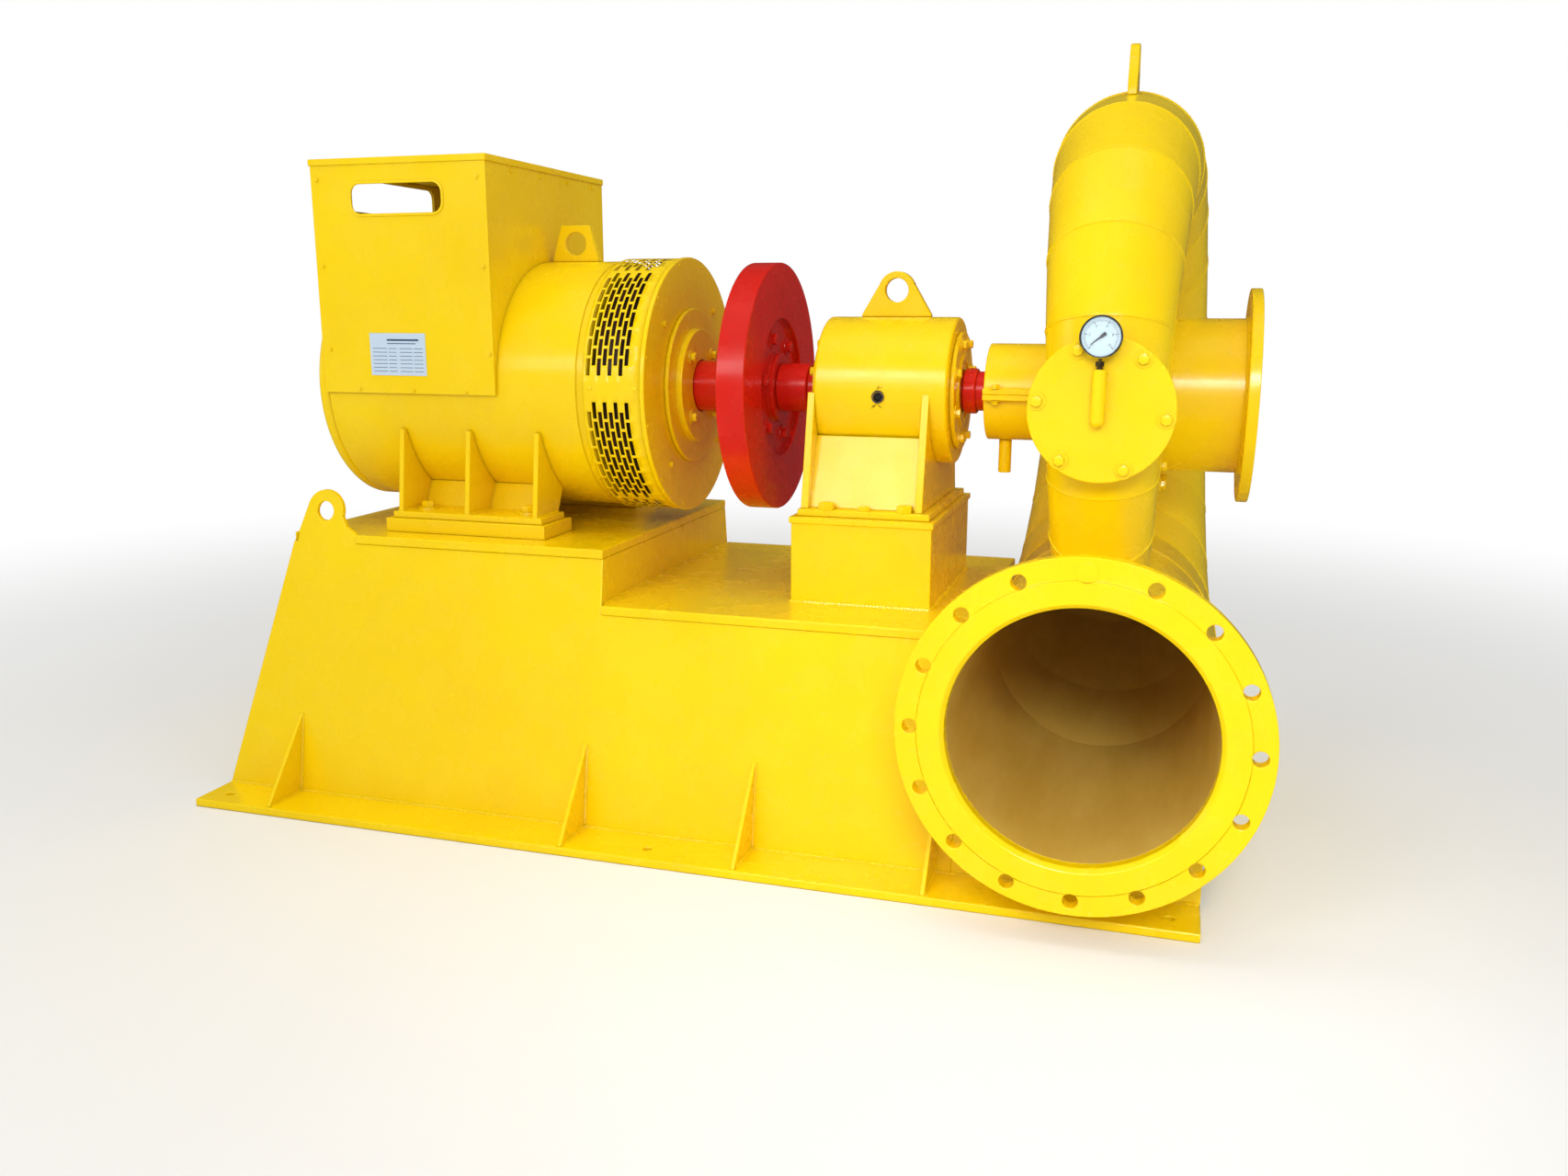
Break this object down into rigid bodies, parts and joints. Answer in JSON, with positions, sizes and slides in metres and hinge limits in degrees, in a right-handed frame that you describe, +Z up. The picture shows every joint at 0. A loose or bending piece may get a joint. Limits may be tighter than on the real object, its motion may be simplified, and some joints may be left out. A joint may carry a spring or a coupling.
{
  "type": "hydroelectric generator set",
  "caption": "Small Francis turbine set: spiral casing, shaft seal, pedestal bearing, flywheel and generator in line on a welded steel base.",
  "frame": {"origin": "on the floor, at the centre of the rectangle of corner anchor holes", "axes": "+X along the shaft from the generator to the turbine, +Y away from the water inlet side, +Z up"},
  "size_m": [3.165, 1.9079, 2.266],
  "materials": {
    "yellow_enamel": "gloss enamel over welded and machined steel",
    "red_rotor": "gloss enamel",
    "nameplate": "satin, bare",
    "gauge": "polished case"
  },
  "bodies": {
    "machine_frame": {"base_cradles": "yellow_enamel", "base_foot_flanges": "yellow_enamel", "base_front_wall": "yellow_enamel", "base_gussets": "yellow_enamel", "base_left_end": "yellow_enamel", "base_lower_deck": "yellow_enamel", "base_rear_wall": "yellow_enamel", "base_right_end": "yellow_enamel", "base_step_plate": "yellow_enamel", "base_turbine_bulkhead": "yellow_enamel", "base_upper_deck": "yellow_enamel", "bearing_end_covers": "yellow_enamel", "bearing_foot_plate": "yellow_enamel", "bearing_housing": "yellow_enamel", "bearing_lifting_lug": "yellow_enamel", "bearing_pedestal": "yellow_enamel", "bearing_support": "yellow_enamel", "casing_lifting_lug": "yellow_enamel", "casing_section_1": "yellow_enamel", "casing_section_2": "yellow_enamel", "casing_section_3": "yellow_enamel", "casing_section_4": "yellow_enamel", "casing_section_5": "yellow_enamel", "casing_section_6": "yellow_enamel", "cooling_drum": "yellow_enamel", "gauge_pipe": "yellow_enamel", "generator_barrel": "yellow_enamel", "generator_bearing_cap": "yellow_enamel", "generator_end_bell": "yellow_enamel", "generator_end_cover": "yellow_enamel", "generator_feet": "yellow_enamel", "generator_lifting_lug": "yellow_enamel", "generator_pads": "yellow_enamel", "hatch_cover": "yellow_enamel", "hatch_neck": "yellow_enamel", "inlet_flange": "yellow_enamel", "inlet_pipe": "yellow_enamel", "nameplate": "nameplate", "outlet_flange": "yellow_enamel", "outlet_pipe": "yellow_enamel", "pressure_gauge": "gauge", "runner_chamber": "yellow_enamel", "seal_drain_pipe": "yellow_enamel", "shaft_seal_lower": "yellow_enamel", "shaft_seal_upper": "yellow_enamel", "terminal_box_faces": "yellow_enamel", "terminal_box_lid": "yellow_enamel", "terminal_box_sides": "yellow_enamel", "turbine_saddles": "yellow_enamel", "turbine_side_covers": "yellow_enamel"},
    "rotor": {"generator_shaft": "red_rotor", "flywheel": "red_rotor", "turbine_shaft": "red_rotor", "oil_slinger": "red_rotor"}
  },
  "joints": [
    {"name": "rotor_spin", "type": "hinge", "parent": "machine_frame", "child": "rotor", "pos_m": [0.1285, 0, 1.3], "axis": [1, 0, 0], "continuous": true}
  ]
}
